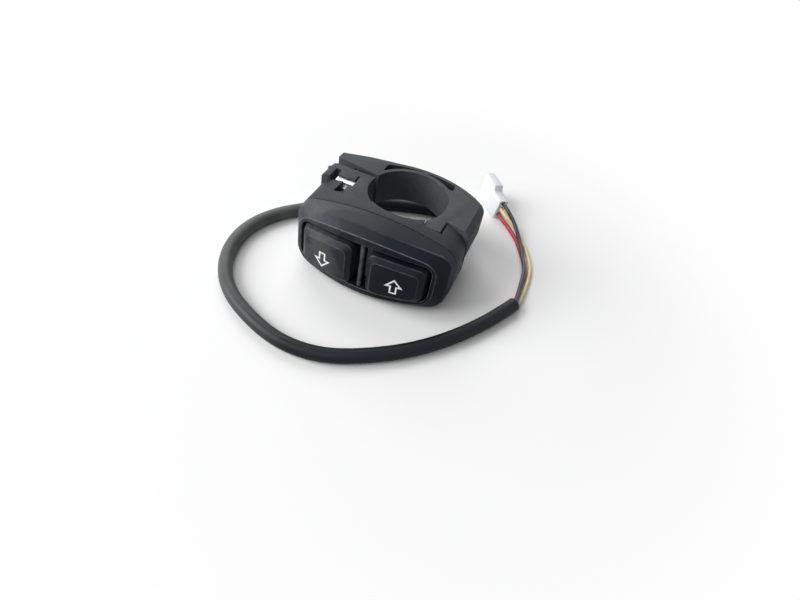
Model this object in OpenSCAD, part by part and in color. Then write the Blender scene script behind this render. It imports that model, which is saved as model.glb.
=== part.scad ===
// Handlebar push button switch: a two-button switch box with a hinged bar clamp and a short lead with a plug.
// The origin is on the bar's axis at half the clamp's height. +Z runs along the bar, and +Y points away from
// the buttons.

/* [Clamp] */
// Diameter of the bar's bore
bore_d = 22.4; // [22:0.1:23]
// Height of the clamp along the bar
clamp_h = 10; // [9:0.5:11]
// Narrowest part of the split between the ear and the block
split_gap = 2; // [1.6:0.1:2.4]
// Reach of the clamp to the right of the bore's axis
clamp_side_x = 20.4; // [19.8:0.1:21]
// Bevel round the jaw's upper and lower edges
clamp_bevel = 1.8; // [1:0.1:2.2]
// Wall behind the bore at the jaw's top face
clamp_wall = 2.6; // [2.2:0.1:3]
// Reach of the ear to the left of the bore's axis
ear_reach = 24; // [23:0.1:25]

/* [Case] */
// Width of the switch case at its parting line
case_w = 44.7; // [44:0.1:46]
// Height of the case at its parting line
case_h = 21.1; // [20.6:0.1:22]
// Extra height of the case at its front crease
crease_rise = 1.15; // [0.8:0.05:1.4]
// Radius of the arched top
top_arch_r = 73; // [64:1:90]
// Radius of the arched underside
bottom_arch_r = 115; // [90:1:150]
// Radius of the bowed front, seen from above
bow_r = 64; // [58:1:80]
// Depth of the bezel from its parting line to its crease
bezel_depth = 7.6; // [7.2:0.1:8.4]
// Depth of the slanted band in front of the crease
band_depth = 2.2; // [1.8:0.1:2.8]
// Height of the slanted band, measured up the front
band_h = 2.1; // [1.8:0.1:2.4]
// Thickness of the case's walls
case_wall = 1.9; // [1.6:0.1:2]

/* [Buttons] */
// Width of one button at its foot
button_w = 14.7; // [14.2:0.1:15]
// Height of a button at its foot
button_h = 12.7; // [12.2:0.1:13]
// How far a button stands out of the frame
button_rise = 1.9; // [1.5:0.1:2.6]
// Width and depth of the bevel round a button
button_bevel = 1.2; // [0.8:0.1:1.4]
// Travel of a button
button_travel = 0.6; // [0.4:0.05:0.7]
// Gap between a button and the rib
rib_gap = 1.8; // [1.4:0.1:2]
// Width of the rib between the buttons
rib_w = 1.2; // [0.8:0.1:1.6]

/* [Switching parts] */
// Thickness of the circuit board
board_t = 1.6; // [1.2:0.1:1.8]
// Side of a tactile switch
tact_w = 6; // [5:0.1:6.2]
// Height of a tactile switch without its plunger
tact_h = 2.4; // [2:0.1:2.5]
// Diameter of a plunger
plunger_d = 3.4; // [3:0.1:3.8]
// Thickness of the silicone mat
mat_t = 0.8; // [0.6:0.1:0.9]

/* [Screws and pin] */
// Diameter of the pin that the jaw turns on
hinge_pin_d = 1.5; // [1.2:0.1:1.6]
// Diameter of the clamp screw
clamp_screw_d = 3; // [2.6:0.1:3]
// Side of the clamp's square nut
nut_w = 5.5; // [5:0.1:5.6]
// Thickness of the clamp's nut
nut_t = 1.8; // [1.5:0.1:1.9]
// Diameter of the case screws
case_screw_d = 2.2; // [2:0.1:2.3]
// Diameter of the board screws
board_screw_d = 1.8; // [1.6:0.1:2]

/* [Lead] */
// Diameter of the lead's sheath
sheath_d = 3.8; // [3.6:0.1:3.9]
// Diameter of one core
core_d = 1.2; // [1:0.05:1.25]

/* [Plug] */
// Length of the plug's housing
plug_len = 13.1; // [12.5:0.1:15]
// Width of the plug across its row of contacts, at its wire end
plug_w = 6.3; // [6:0.1:7]
// Thickness of the plug
plug_t = 3; // [2.8:0.1:3.4]

/* [Hidden] */

// Fineness of round parts
round_fn = 64;
small_fn = 24;
// A length that runs clean through any part, and a small overlap
through = 60;
eps = 0.02;
// Clearances: round screws, round the lead, between running parts, where the jaw swings, and under the jaw
screw_clear = 0.15;
cord_clear = 0.18;
run_clear = 0.05;
swing_clear = 0.35;
seat_clear = 0.2;

bore_r = bore_d / 2;
half_h = clamp_h / 2;
// The bar bears on a band as high as the clamp, and the saddle is relieved above and below it
saddle_r = bore_r + 0.5;

// Case: middles of its outlines left of the bore, and its height above the clamp
case_x = -2.2;
crease_x = -1.9;
window_x = -2.4;
case_top = half_h + 1.4;
back_half_h = case_h / 2;
case_mid_z = case_top - back_half_h;
crease_half_h = back_half_h + crease_rise / 2;
crease_mid_z = case_mid_z + crease_rise / 2;
floor_z = case_mid_z - back_half_h;
part_y = -bore_r - case_wall - 1;
crease_y = part_y - bezel_depth;
rim_y = crease_y - band_depth;
part_half_w = case_w / 2;
crease_half_w = part_half_w - 0.8;
part_corner_r = 3.5;
crease_corner_r = 3.2;
rim_corner_r = 3.6;
rim_top_arch_r = 64;
rim_low_arch_r = 75;
window_corner_r = 2.6;
inner_corner_r = 1.8;
frame_t = 1.8;
bow = 1 / bow_r;

// Buttons and the window round them
button_corner_r = 1.6;
button_x = rib_w / 2 + rib_gap + button_w / 2;
button_mid_z = case_mid_z - 0.1;
button_arch_r = 120;
window_half_w = button_x + button_w / 2 + 1.35;
window_half_h = button_h / 2 + 0.975;
window_mid_z = button_mid_z + 0.275;
rim_half_w = window_half_w + 1.05;
rim_half_h = crease_half_h - band_h + 0.2;
rim_mid_z = crease_mid_z - 0.15;

// Depths behind the buttons, from the board to the front
board_back_y = part_y - 0.1;
board_front_y = board_back_y - board_t;
tact_front_y = board_front_y - tact_h;
mat_front_y = tact_front_y - mat_t;
plunger_front_y = mat_front_y - button_travel - run_clear;
skirt_y = mat_front_y - button_travel - 0.3;
face_y = rim_y - button_rise;
switch_z = case_mid_z;

// Clamp: split, hinge side and seats
split_y = 2.4;
block_left_x = 23.5;
block_bevel = 0.9;
nut_pocket_left_x = -block_left_x + 1.6;
block_foot_y = -4.1;
block_step_x = -15.6;
block_edge = [[block_step_x, -9.8], [-12.8, -9.3], [-6.6, -10.9], [-6.6, -4]];
tongue_x0 = 8.3;
tongue_x1 = 13.1;
tongue_y = -10.1;
tongue_top_y = -7.5;
seat_y0 = -5.65;
seat_slope = 0.178;
back_arc_r = 29;
back_arc_x = 0.8;
back_arc_y = bore_r + clamp_wall - back_arc_r;
jaw_side_x = clamp_side_x - clamp_bevel;
jaw_corner_r = 4.6;
corner_x = jaw_side_x - jaw_corner_r;
corner_y = back_arc_y + sqrt(pow(back_arc_r - jaw_corner_r, 2) - pow(corner_x - back_arc_x, 2));
corner_turn = atan2(corner_y - back_arc_y, corner_x - back_arc_x);
ear_turn = 102.7;
ear_tip_y = 5.6;
ear_back_x = -16;
ear_back_y = 10.9;
ear_corner_y = 8.3;

// Hinge pin: it stands in the housing's floor and reaches up into the tongue
hinge_x = 11;
hinge_y = -8.6;
pin_low_z = -half_h - seat_clear - 2;
pin_top_z = 2.4;

// Clamp screw, its washer and its nut
screw_x = -17.4;
screw_z = 1.6;
screw_seat_y = 7.6;
screw_tip_y = -5;
screw_room = 2.1;
washer_t = 0.5;
washer_gap = 0.2;
washer_r = 2.9;
head_h = 1.9;
head_r = 2.6;
head_y = screw_seat_y + washer_gap + washer_t + run_clear;
nut_y = block_foot_y + run_clear;
nut_clear = 0.1;

// Case screws, set in from the case's sides, and their places as x and z
boss_r = 2;
boss_inset = boss_r + 1.5;
screw_left_x = case_x - part_half_w + boss_inset;
screw_right_x = case_x + part_half_w - boss_inset;
screw_high_z = case_mid_z + 3.15;
screw_low_z = case_mid_z - 4.45;
case_screw_places = [[screw_left_x, screw_high_z], [screw_right_x, screw_high_z],
  [screw_left_x, screw_low_z]];
case_head_y = -7.8;
case_head_h = 1.2;
case_head_r = case_screw_d * 0.9;
case_screw_grip = 2.2;

// Board between the bosses, the mat in front of it, and the places of the board's screws
board_clear = 0.45;
board_half_w = window_x - screw_left_x - boss_r - board_clear;
board_half_h = back_half_h - case_wall - 1.65;
board_corner_r = 2.6;
mat_half_w = board_half_w + 0.4;
mat_half_h = board_half_h - 0.2;
mat_corner_r = 3;
board_screw_z = switch_z + board_half_h - 2.05;
board_screw_inset = 1.5;
board_screw_places = [for (side = [-1, 1])
  [window_x + side * (board_half_w - board_screw_inset), board_screw_z]];
board_head_h = 1;
board_tip_y = -11.5;

// Lead: where it leaves the housing, and how it lies
lead_x = 15.4;
lead_z = -8.4;
shoulder_y = -1.5;
exit_wall = 2.1;
lead_inner_y = -9;
flange_r = 2.6;
sheath_r = sheath_d / 2;
lay_z = floor_z + sheath_r;
core_r = core_d / 2;
core_lay_z = floor_z + core_r;
over_z = core_lay_z + core_d;
core_pack_r = 0.95;

// Plug: where the near lower corner of its wire face stands, and how it is turned and leans
plug_lean = 10;
plug_turn = 131;
plug_at = [20.3, 30.65, floor_z + plug_t * sin(plug_lean)];
contact_z = plug_w / 2 + 0.2;
contact_pitch = 2;
core_end_x = 0.5;

// A point of the plug's own frame, with x along the plug and z across its contacts
function in_plug(x, y, z) =
  let (v = y * cos(plug_lean) - z * sin(plug_lean), w = y * sin(plug_lean) + z * cos(plug_lean))
  plug_at + [x * cos(plug_turn) - v * sin(plug_turn), x * sin(plug_turn) + v * cos(plug_turn), w];

// Route of the lead, from inside the housing, round behind the clamp and in a loop over the floor
sheath_route = [
  [lead_x, lead_inner_y, lead_z], [lead_x, -5, lead_z], [lead_x, -1, lead_z], [lead_x, 3, lead_z],
  [15.4, 6.5, -8.8], [15.2, 10, -10], [14.2, 14, -11.7], [12, 17.8, lay_z], [8.6, 20.6, lay_z],
  [4, 21.4, lay_z], [-2, 19.6, lay_z], [-8, 17, lay_z], [-14, 14.2, lay_z], [-20, 10.4, lay_z],
  [-26, 5.2, lay_z], [-31.6, -1, lay_z], [-36.4, -7, lay_z], [-39.6, -14, lay_z], [-40.4, -21.6, lay_z],
  [-38.6, -29.4, lay_z], [-34.6, -36.2, lay_z], [-29, -41.4, lay_z], [-22, -45.2, lay_z],
  [-14.6, -47.8, lay_z], [-8, -48.6, lay_z], [-1, -47.6, lay_z], [6, -44.4, lay_z], [14, -38.8, lay_z],
  [20.6, -32.6, lay_z], [26.4, -25.4, lay_z], [31.4, -17.6, lay_z], [35, -10.6, lay_z], [37.2, -5.8, lay_z]];

// Routes of the cores, from the sheath's end to the plug
black_route = [
  [37.2, -5.8, lay_z + 0.7], [37.2, -3.4, lay_z + 0.5], [36.8, 2.5, over_z + 0.2], [36, 9.7, over_z],
  [33.7, 16, over_z], [31.1, 21.9, -12.4], [27.8, 26.9, -11],
  in_plug(-3, -plug_t / 2, contact_z + contact_pitch),
  in_plug(core_end_x, -plug_t / 2, contact_z + contact_pitch)];
yellow_route = [
  [37.75, -6.05, lay_z - 0.35], [38.2, -3.4, lay_z - 0.7], [38.6, 3.8, core_lay_z], [37.9, 11, core_lay_z],
  [35.8, 16.9, core_lay_z], [32.4, 23, core_lay_z], [27.8, 27.7, -12.4], in_plug(-3, -plug_t / 2, contact_z),
  in_plug(core_end_x, -plug_t / 2, contact_z)];
red_route = [
  [36.65, -5.55, lay_z - 0.35], [36.9, -3.4, lay_z - 0.7], [36.6, 4, core_lay_z], [35.7, 10.7, core_lay_z],
  [33.2, 17.1, core_lay_z], [30.2, 23.2, core_lay_z], [26.7, 27.4, -13.9],
  in_plug(-3, -plug_t / 2, contact_z - contact_pitch),
  in_plug(core_end_x, -plug_t / 2, contact_z - contact_pitch)];

// Points of an arc about a centre
function arc(cx, cy, r, a0, a1, n) =
  [for (i = [0:n]) let (a = a0 + (a1 - a0) * i / n) [cx + r * cos(a), cy + r * sin(a)]];

// Points between two ends, without them
function between(p, q, n) = [for (i = [1:n - 1]) p + (q - p) * i / n];

// A rounded rectangle as half sizes w and h, anticlockwise, with its long sides cut into short steps
function rounded_rect(w, h, r, nc = 5, nl = 12, ns = 4) =
  let (cw = w - r, ch = h - r) concat(
    arc(cw, ch, r, 0, 90, nc), between([cw, h], [-cw, h], nl),
    arc(-cw, ch, r, 90, 180, nc), between([-w, ch], [-w, -ch], ns),
    arc(-cw, -ch, r, 180, 270, nc), between([-cw, -h], [cw, -h], nl),
    arc(cw, -ch, r, 270, 360, nc), between([w, -ch], [w, ch], ns));

// How far an arched edge has dropped at x, and the rounded rectangle with its top and bottom arched
function drop(x, y, full, top_r, low_r) =
  sign(y) * min(1, abs(y) / full) * x * x / (2 * (y > 0 ? top_r : low_r));
function arched(w, h, r, top_r, low_r) =
  [for (p = rounded_rect(w, h, r)) [p[0], p[1] - drop(p[0], p[1], h - r, top_r, low_r)]];

// The outline stood upright about the middle (x, z) at depth y, and bowed about the window's middle if asked
function ring(pts, x, z, y, k = 0) =
  [for (p = pts) [x + p[0], y + k * pow(x + p[0] - window_x, 2) / 2, z + p[1]]];

// Front edge of the jaw's seat in the housing
function seat_y(x) = seat_y0 - seat_slope * (x - tongue_x1);

// A skin over a list of rings with the same number of points, each ring in front of the last
function skin_faces(n, count, loop) = [for (i = [0:count - (loop ? 1 : 2)]) for (j = [0:n - 1])
  let (k = (j + 1) % n, a = i * n, b = ((i + 1) % count) * n)
    each [[a + j, b + k, a + k], [a + j, b + j, b + k]]];

// A body over the rings: the first ring is flat, and the last one is closed by a fan to the tip
module loft(rings, tip) {
  n = len(rings[0]);
  count = len(rings);
  last = (count - 1) * n;
  polyhedron(
    points = concat([for (r = rings) each r], [tip]),
    faces = concat(skin_faces(n, count, false), [[for (j = [0:n - 1]) j]],
      [for (j = [0:n - 1]) [last + (j + 1) % n, last + j, count * n]]),
    convexity = 6);
}

module loft_loop(rings) {
  polyhedron(
    points = [for (r = rings) each r],
    faces = skin_faces(len(rings[0]), len(rings), true),
    convexity = 8);
}

// A straight round bar along +Y from y0 to y1
module along_y(x, z, y0, y1, r, r_end = undef) {
  translate([x, y0, z])
    rotate([-90, 0, 0])
      cylinder(h = y1 - y0, r1 = r, r2 = is_undef(r_end) ? r : r_end, $fn = round_fn);
}

// A box from its low corner to its high corner
module block(low, high) {
  translate(low)
    cube(high - low);
}

// A round rod between two points
module rod(p, q, r) {
  v = q - p;
  translate(p)
    rotate([0, acos(v[2] / norm(v)), atan2(v[1], v[0])])
      cylinder(h = norm(v), r = r, $fn = small_fn);
}

// Front bezel: window frame, slanted band, divider rib and screw bosses
module front_bezel() {
  part_out = arched(part_half_w, back_half_h, part_corner_r, top_arch_r, bottom_arch_r);
  crease = arched(crease_half_w, crease_half_h, crease_corner_r, top_arch_r - 3, bottom_arch_r);
  rim = arched(rim_half_w, rim_half_h, rim_corner_r, rim_top_arch_r, rim_low_arch_r);
  window = arched(window_half_w, window_half_h, window_corner_r, button_arch_r, button_arch_r);
  front_in = arched(crease_half_w - case_wall, crease_half_h - case_wall, inner_corner_r,
    top_arch_r - 3, bottom_arch_r);
  part_in = arched(part_half_w - case_wall, back_half_h - case_wall, inner_corner_r,
    top_arch_r, bottom_arch_r);
  frame_back_y = rim_y + frame_t;
  rib_front_y = rim_y + 0.4;
  rib_back_y = frame_back_y + 1;
  rib_low_z = window_mid_z - window_half_h - 0.3;
  rib_top_z = window_mid_z + window_half_h + 0.15;
  rib_round = 1.2;
  boss_len = 3.5;
  color([0.13, 0.13, 0.14])
    difference() {
      union() {
        loft_loop([
          ring(part_out, case_x, case_mid_z, part_y),
          ring(crease, crease_x, crease_mid_z, crease_y, bow),
          ring(rim, window_x, rim_mid_z, rim_y, bow),
          ring(window, window_x, window_mid_z, rim_y, bow),
          ring(window, window_x, window_mid_z, frame_back_y, bow),
          ring(front_in, crease_x, crease_mid_z, frame_back_y + 0.2, bow),
          ring(part_in, case_x, case_mid_z, part_y)]);
        // Rib between the two buttons, with a rounded nose and a rounded upper end
        intersection() {
          translate([window_x - rib_w / 2, 0, 0])
            rotate([90, 0, 90])
              linear_extrude(rib_w)
                polygon(concat([[rib_front_y, rib_low_z], [rib_back_y, rib_low_z], [rib_back_y, rib_top_z]],
                  arc(rib_front_y + rib_round, rib_top_z - rib_round, rib_round, 90, 180, 6)));
          translate([window_x, 0, rib_low_z])
            linear_extrude(rib_top_z - rib_low_z)
              polygon(concat([[rib_w / 2, rib_back_y], [-rib_w / 2, rib_back_y]],
                arc(0, rib_front_y + rib_w / 2, rib_w / 2, 180, 360, 8)));
        }
        for (s = case_screw_places)
          along_y(s[0], s[1], part_y - boss_len, part_y, boss_r);
      }
      for (s = case_screw_places)
        along_y(s[0], s[1], part_y - boss_len + 0.8, part_y + 1, case_screw_d / 2 + run_clear);
    }
}

// Plan of the case behind the parting line, with its rear corners rounded
module case_plan() {
  left = case_x - part_half_w - eps;
  right = case_x + part_half_w + eps;
  rear_r = 3;
  polygon(concat([[left, part_y], [right, part_y]],
    arc(right - rear_r, shoulder_y - rear_r, rear_r, 0, 90, 6),
    arc(left + rear_r, shoulder_y - rear_r, rear_r, 90, 180, 6)));
}

// Housing: rear half of the case with the bar saddle, the seats of the block and the jaw, and the lead's exit
module housing() {
  pocket_y = shoulder_y - exit_wall;
  hollow = flange_r + run_clear;
  pads_left_x = 11.2;
  lead_low_z = lead_z - hollow;
  lead_top_z = lead_z + hollow;
  pocket_edge_x = tongue_x1 + 0.5;
  color([0.14, 0.14, 0.15])
    difference() {
      intersection() {
        translate([case_x, part_y, case_mid_z])
          rotate([90, 0, 0])
            mirror([0, 0, 1])
              linear_extrude(shoulder_y - part_y)
                polygon(arched(part_half_w, back_half_h, part_corner_r, top_arch_r, bottom_arch_r));
        translate([0, 0, floor_z - 1])
          linear_extrude(case_h + 4)
            case_plan();
      }
      // Saddle for the bar, relieved above and below the clamp's band
      cylinder(h = through, r = bore_r, center = true, $fn = round_fn);
      translate([0, 0, half_h])
        cylinder(h = through, r = saddle_r, $fn = round_fn);
      translate([0, 0, -half_h - through])
        cylinder(h = through, r = saddle_r, $fn = round_fn);
      // Seat of the block on the left
      translate([0, 0, -half_h])
        linear_extrude(through)
          polygon(concat([[-through, through], [-through, block_foot_y], [block_step_x, block_foot_y]],
            block_edge, [[0, 0], [0, through]]));
      // Seat of the jaw on the right, with the pocket that its tongue hooks into
      translate([0, 0, -half_h - seat_clear])
        linear_extrude(through)
          polygon([[-1, through], [-1, 0], [tongue_x0 - 0.4, -5], [tongue_x0 - 0.4, tongue_top_y + 0.1],
            [tongue_x0, tongue_y - 0.4], [pocket_edge_x, tongue_y - 0.4],
            [pocket_edge_x, seat_y(pocket_edge_x)], [through, seat_y(through)], [through, through]]);
      pin_room();
      // Pocket that leaves room for the clamp screw's tip
      translate([0, 0, screw_z - 2])
        linear_extrude(through)
          polygon([[screw_x - 0.2, block_foot_y + 1], [screw_x - 0.8, -9], [screw_x, -9.4],
            [screw_x + 1.9, -9], [screw_x + 1.9, block_foot_y + 1]]);
      along_y(screw_x, screw_z, screw_tip_y - screw_room, 0, clamp_screw_d / 2 + screw_clear);
      // Hollow that the lead enters, its way to the board, and a shallow one behind the board's middle
      block([lead_x - hollow, part_y - 1, lead_low_z], [lead_x + hollow, pocket_y, lead_top_z]);
      block([pads_left_x, part_y - 1, lead_low_z], [lead_x, part_y + 1.7, lead_top_z]);
      block([-9, part_y - 1, -10], [8, part_y + 0.8, 0]);
      along_y(lead_x, lead_z, pocket_y - 1, 0, sheath_r + cord_clear + 0.35);
      // Holes of the case screws, with room for their heads, and holes of the board screws
      for (s = case_screw_places) {
        along_y(s[0], s[1], part_y - 1, 0, case_screw_d / 2 + screw_clear);
        along_y(s[0], s[1], case_head_y, 1, case_head_r + screw_clear);
      }
      for (s = board_screw_places)
        along_y(s[0], s[1], part_y - 1, board_tip_y + 0.4, board_screw_d / 2 + run_clear);
    }
}

// Block to the left of the bore, with the nut's pocket and the screw's hole
module clamp_block() {
  slot_depth = 3;
  wing_w = 0.6;
  wing_y = 0.2;
  color([0.15, 0.15, 0.16])
    difference() {
      union() {
        difference() {
          translate([0, 0, -half_h])
            linear_extrude(clamp_h)
              polygon(concat([[-bore_r + 1.2, split_y - 0.2],
                [-block_left_x + 1.1 - block_bevel / 2, split_y],
                [-block_left_x - block_bevel, split_y - 1.3], [-block_left_x - block_bevel, block_foot_y],
                [block_step_x, block_foot_y]], block_edge));
          // Bevel along the outer side, at the top and at the bottom
          for (side = [0, 1])
            mirror([0, 0, side])
              rotate([90, 0, 0])
                linear_extrude(through, center = true)
                  polygon([[-block_left_x + 1, half_h + 1], [-block_left_x, half_h],
                    [-block_left_x - 2, half_h - 2], [-block_left_x - 4, half_h + 1]]);
        }
        // Small rounded rib on the outer side
        translate([-block_left_x - 0.2, -0.4, -half_h])
          cylinder(h = clamp_h, r = 0.6, $fn = small_fn);
      }
      cylinder(h = through, r = bore_r, center = true, $fn = round_fn);
      // Slot that the nut drops into
      block([screw_x - nut_w / 2 - nut_clear, block_foot_y - 1, screw_z - nut_w / 2 - nut_clear],
        [screw_x + nut_w / 2 + nut_clear, nut_y + nut_t + screw_clear, through]);
      // Square pocket at its outer end and a thin relief at its inner end
      block([nut_pocket_left_x, block_foot_y - 1, half_h - slot_depth],
        [screw_x - nut_w / 2, wing_y, through]);
      block([screw_x + nut_w / 2 + nut_clear - wing_w, -3, half_h - slot_depth],
        [screw_x + nut_w / 2 + nut_clear, wing_y, through]);
      along_y(screw_x, screw_z, block_foot_y, 10, clamp_screw_d / 2 + screw_clear);
    }
}

// Outline of the jaw at its top face, grown at its back and its right side
module jaw_outline(grow) {
  side_x = jaw_side_x + grow;
  polygon(concat(
    [[tongue_x0, tongue_y], [tongue_x1, tongue_y], [side_x, seat_y(side_x) + swing_clear]],
    arc(corner_x, corner_y, jaw_corner_r + grow, 0, corner_turn, 8),
    arc(back_arc_x, back_arc_y, back_arc_r + grow, corner_turn, ear_turn, 12),
    [[ear_back_x - 0.27 * grow, ear_back_y + 0.96 * grow], [-ear_reach + 0.1, ear_corner_y + 1.05 * grow],
      [-ear_reach, ear_tip_y]]));
}

// Jaw behind the bar: ear with the screw's seat, two cored pockets, and the tongue that hooks in the housing
module rear_clamp() {
  pocket_floor = half_h - 7;
  core_wall = 1.1;
  rib_half = 0.65;
  rib_x = 0.25;
  slot_r = clamp_screw_d / 2 + 2 * screw_clear;
  slot_half = 0.6;
  seat_r = washer_r + 2 * screw_clear;
  color([0.13, 0.13, 0.14])
    difference() {
      hull() {
        translate([0, 0, -half_h])
          linear_extrude(eps)
            jaw_outline(0);
        translate([0, 0, -half_h + clamp_bevel])
          linear_extrude(clamp_h - 2 * clamp_bevel)
            jaw_outline(clamp_bevel);
        translate([0, 0, half_h - eps])
          linear_extrude(eps)
            jaw_outline(0);
      }
      cylinder(h = through, r = bore_r, center = true, $fn = round_fn);
      // Everything in front of the split and left of the tongue
      translate([0, 0, -through / 2])
        linear_extrude(through)
          polygon([[-through, -through], [-through, ear_tip_y + 3.2], [-ear_reach, ear_tip_y],
            [-bore_r + 0.9, split_y + split_gap], [0, split_y + split_gap], [0, 0], [tongue_x0 - 1, -5],
            [tongue_x0, tongue_top_y], [tongue_x0, -through]]);
      // Everything in front of its seat
      translate([0, 0, -through / 2])
        linear_extrude(through)
          polygon([[tongue_x1, -through], [tongue_x1, seat_y(tongue_x1) + swing_clear],
            [through, seat_y(through) + swing_clear], [through, -through]]);
      // Two cored pockets between the bore's wall and the outer wall
      for (side = [-1, 1])
        translate([0, 0, pocket_floor])
          linear_extrude(through)
            intersection() {
              difference() {
                translate([back_arc_x, back_arc_y])
                  circle(r = back_arc_r - core_wall, $fn = 2 * round_fn);
                circle(r = bore_r + core_wall, $fn = 2 * round_fn);
              }
              translate([side < 0 ? -10.6 : rib_x + rib_half, side < 0 ? 7 : 8.8])
                square([side < 0 ? 10.6 + rib_x - rib_half : 10 - rib_x - rib_half, 8]);
            }
      pin_room();
      // Oval hole for the screw, and the oval recess of its washer
      for (dx = [-slot_half, slot_half])
        along_y(screw_x + dx, screw_z, 2, 12, slot_r);
      block([screw_x - slot_half, 2, screw_z - slot_r], [screw_x + slot_half, 12, screw_z + slot_r]);
      for (dx = [-slot_half, slot_half])
        along_y(screw_x + dx, screw_z, screw_seat_y, through, seat_r);
      block([screw_x - slot_half, screw_seat_y, screw_z - seat_r],
        [screw_x + slot_half, through, screw_z + seat_r]);
    }
}

// Pin that the tongue turns on, and the blind hole for it in the housing and in the jaw
module hinge_pin() {
  color([0.75, 0.75, 0.78])
    translate([hinge_x, hinge_y, pin_low_z])
      cylinder(h = pin_top_z - pin_low_z, r = hinge_pin_d / 2, $fn = round_fn);
}

module pin_room() {
  translate([hinge_x, hinge_y, pin_low_z - run_clear])
    cylinder(h = pin_top_z - pin_low_z + 2 * run_clear, r = hinge_pin_d / 2 + run_clear, $fn = round_fn);
}

// Square nut with a drilled hole
module clamp_nut() {
  color([0.8, 0.8, 0.82])
    difference() {
      block([screw_x - nut_w / 2, nut_y, screw_z - nut_w / 2],
        [screw_x + nut_w / 2, nut_y + nut_t, screw_z + nut_w / 2]);
      along_y(screw_x, screw_z, nut_y - 1, nut_y + nut_t + 1, clamp_screw_d / 2 + run_clear);
    }
}

// Two crossed slots in the end of a screw's head
module cross_slots(x, y, z, w, t) {
  for (a = [0, 90])
    translate([x, y, z])
      rotate([0, a, 0])
        cube([w, 1.4 * t, t / 2], center = true);
}

// Pan head screw with a cross recess, through the washer
module clamp_screw() {
  color([0.75, 0.75, 0.78])
    difference() {
      union() {
        along_y(screw_x, screw_z, screw_tip_y, head_y + eps, clamp_screw_d / 2);
        along_y(screw_x, screw_z, head_y, head_y + head_h * 0.6, head_r);
        along_y(screw_x, screw_z, head_y + head_h * 0.6, head_y + head_h, head_r, head_r * 0.75);
      }
      cross_slots(screw_x, head_y + head_h, screw_z, head_r * 1.1, 1.4);
    }
}

module screw_washer() {
  color([0.7, 0.7, 0.72])
    difference() {
      along_y(screw_x, screw_z, screw_seat_y + washer_gap, screw_seat_y + washer_gap + washer_t, washer_r);
      along_y(screw_x, screw_z, 0, 12, clamp_screw_d / 2 + run_clear);
    }
}

// Button: bevelled cap with a hollow back, a stem over the plunger and two lugs behind the frame
module up_button() {
  mid_x = window_x + button_x;
  foot_w = button_w / 2;
  foot_h = button_h / 2;
  b = button_bevel;
  hollow_y = face_y + 3.6;
  hollow_w = foot_w - 1.5;
  hollow_h = foot_h - 2.6;
  lug_t = 0.6;
  // The bow and the arch follow the whole front, so the rings are shaped about the window's middle
  function cap(w, h, r) = rounded_rect(w, h, r, 4, 6, 3);
  function placed(inset, y, scale = 1) =
    [for (p = cap((foot_w - inset) * scale, (foot_h - inset) * scale, button_corner_r * scale))
      let (dx = button_x + p[0])
        [window_x + dx, y + bow * dx * dx / 2,
          button_mid_z + p[1] - drop(dx, p[1], foot_h - button_corner_r, button_arch_r, button_arch_r)]];
  color([0.10, 0.10, 0.11])
    union() {
      difference() {
        loft([
          [for (p = placed(0, 0)) [p[0], skirt_y, p[2]]],
          placed(0, face_y + b),
          placed(b - 0.15, face_y + 0.15),
          placed(b + 0.15, face_y),
          placed(b + 0.15, face_y, 0.5)],
          [mid_x, face_y + bow * button_x * button_x / 2, button_mid_z]);
        block([mid_x - hollow_w, hollow_y, button_mid_z - hollow_h],
          [mid_x + hollow_w, 0, button_mid_z + hollow_h]);
      }
      // Stem that rests on the plunger
      block([mid_x - 2, hollow_y - 0.5, switch_z - 2],
        [mid_x + 2, plunger_front_y - run_clear, switch_z + 2]);
      // Lugs that stop behind the frame, above and below
      for (z = [button_mid_z + foot_h - 1.2, button_mid_z - foot_h - 1.2])
        block([mid_x - 4.7, skirt_y - lug_t, z], [mid_x + 2.3, skirt_y, z + 3.3]);
    }
}

module down_button() {
  translate([window_x, 0, 0])
    mirror([1, 0, 0])
      translate([-window_x, 0, 0])
        up_button();
}

// Tactile switch: square base with a round well, and the plunger that slides in it
module switch_base(side) {
  x = window_x + side * button_x;
  color([0.2, 0.2, 0.2])
    difference() {
      block([x - tact_w / 2, tact_front_y, switch_z - tact_w / 2],
        [x + tact_w / 2, board_front_y, switch_z + tact_w / 2]);
      along_y(x, switch_z, tact_front_y - 1, board_front_y - 0.5, plunger_d / 2 + run_clear);
    }
}

module plunger(side) {
  color([0.85, 0.8, 0.6])
    along_y(window_x + side * button_x, switch_z, plunger_front_y, tact_front_y + 0.9, plunger_d / 2);
}

module switch_base_down() {
  switch_base(-1);
}

module switch_base_up() {
  switch_base(1);
}

module plunger_down() {
  plunger(-1);
}

module plunger_up() {
  plunger(1);
}

// Silicone mat that lies on the switches, with a hole for each plunger
module seal_mat() {
  color([0.55, 0.56, 0.58])
    difference() {
      translate([window_x, mat_front_y, switch_z])
        rotate([-90, 0, 0])
          linear_extrude(mat_t)
            polygon(rounded_rect(mat_half_w, mat_half_h, mat_corner_r));
      for (side = [-1, 1])
        along_y(window_x + side * button_x, switch_z, mat_front_y - 1, tact_front_y + 1,
          plunger_d / 2 + 2 * run_clear);
    }
}

// Circuit board with rounded corners and its screw holes
module circuit_board() {
  color([0.1, 0.35, 0.2])
    difference() {
      translate([window_x, board_front_y, switch_z])
        rotate([-90, 0, 0])
          linear_extrude(board_t)
            polygon(rounded_rect(board_half_w, board_half_h, board_corner_r));
      for (s = board_screw_places)
        along_y(s[0], s[1], board_front_y - 1, board_back_y + 1, board_screw_d / 2 + screw_clear);
    }
}

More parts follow.
